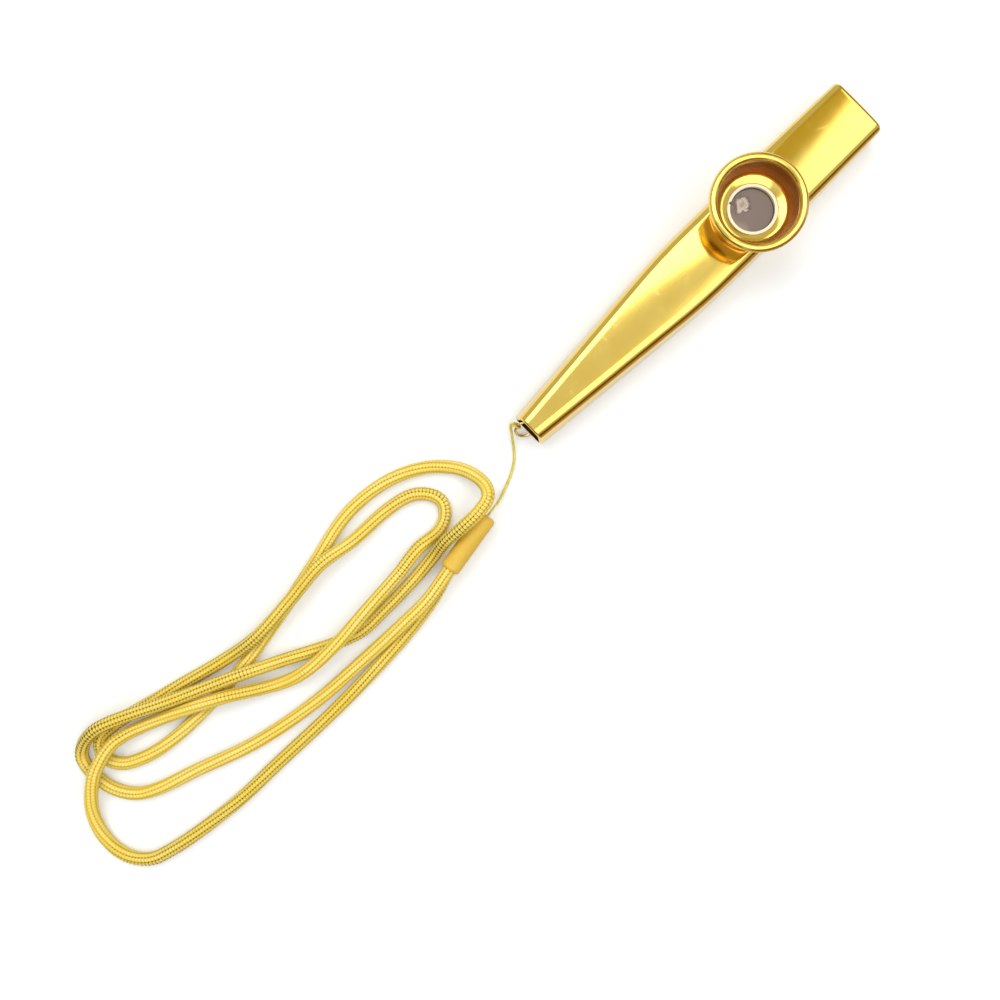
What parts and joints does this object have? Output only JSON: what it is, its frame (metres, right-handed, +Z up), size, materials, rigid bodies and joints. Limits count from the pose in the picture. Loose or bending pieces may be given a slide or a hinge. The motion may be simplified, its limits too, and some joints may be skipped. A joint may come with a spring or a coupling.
{
  "type": "kazoo",
  "caption": "Metal kazoo with a tapered flat tube, a screwed flared membrane turret and a wire ring that carries a looped knitted neck cord",
  "frame": {"origin": "On the surface that the kazoo rests on, under the turret's axis", "axes": "+X from the narrow end to the wide mouth, +Y across the tube, +Z up along the turret's axis"},
  "size_m": [0.2796, 0.0445, 0.023],
  "materials": {
    "gold_body": "polished, gold anodised",
    "gold_collar": "turned, gold anodised",
    "film": "thin translucent membrane",
    "membrane_ring_plastic": "smooth moulded",
    "gold_cap": "turned and polished, gold anodised",
    "ring_wire": "gold plated wire",
    "string_nylon": "twisted nylon",
    "sleeve_plastic": "soft moulded",
    "cord_knit": "knitted tubular cord"
  },
  "bodies": {
    "kazoo_body": {"body_tube": "gold_body", "turret_collar": "gold_collar", "lanyard_string": "string_nylon", "lanyard_sleeve": "sleeve_plastic", "neck_cord": "cord_knit"},
    "membrane_unit": {"membrane_film": "film", "membrane_ring": "membrane_ring_plastic"},
    "cap": {"turret_cap": "gold_cap"},
    "ring": {"jump_ring": "ring_wire"}
  },
  "joints": [
    {"name": "membrane_lift", "type": "slide", "parent": "kazoo_body", "child": "membrane_unit", "axis": [0, 0, 1], "range_m": [0, 0.00225]},
    {"name": "cap_turn", "type": "hinge", "parent": "membrane_unit", "child": "cap", "pos_m": [0, 0, 0.0154], "axis": [0, 0, 1], "range_deg": [0, 1080]},
    {"name": "ring_turn", "type": "hinge", "parent": "kazoo_body", "child": "ring", "pos_m": [-0.07996, 0.0011, 0.003], "axis": [-0.3237, -0.6943, 0.6428], "continuous": true}
  ],
  "couplings": [
    {"joint": "membrane_lift", "follows": "cap_turn", "m_per_rad": 0.00011937}
  ]
}
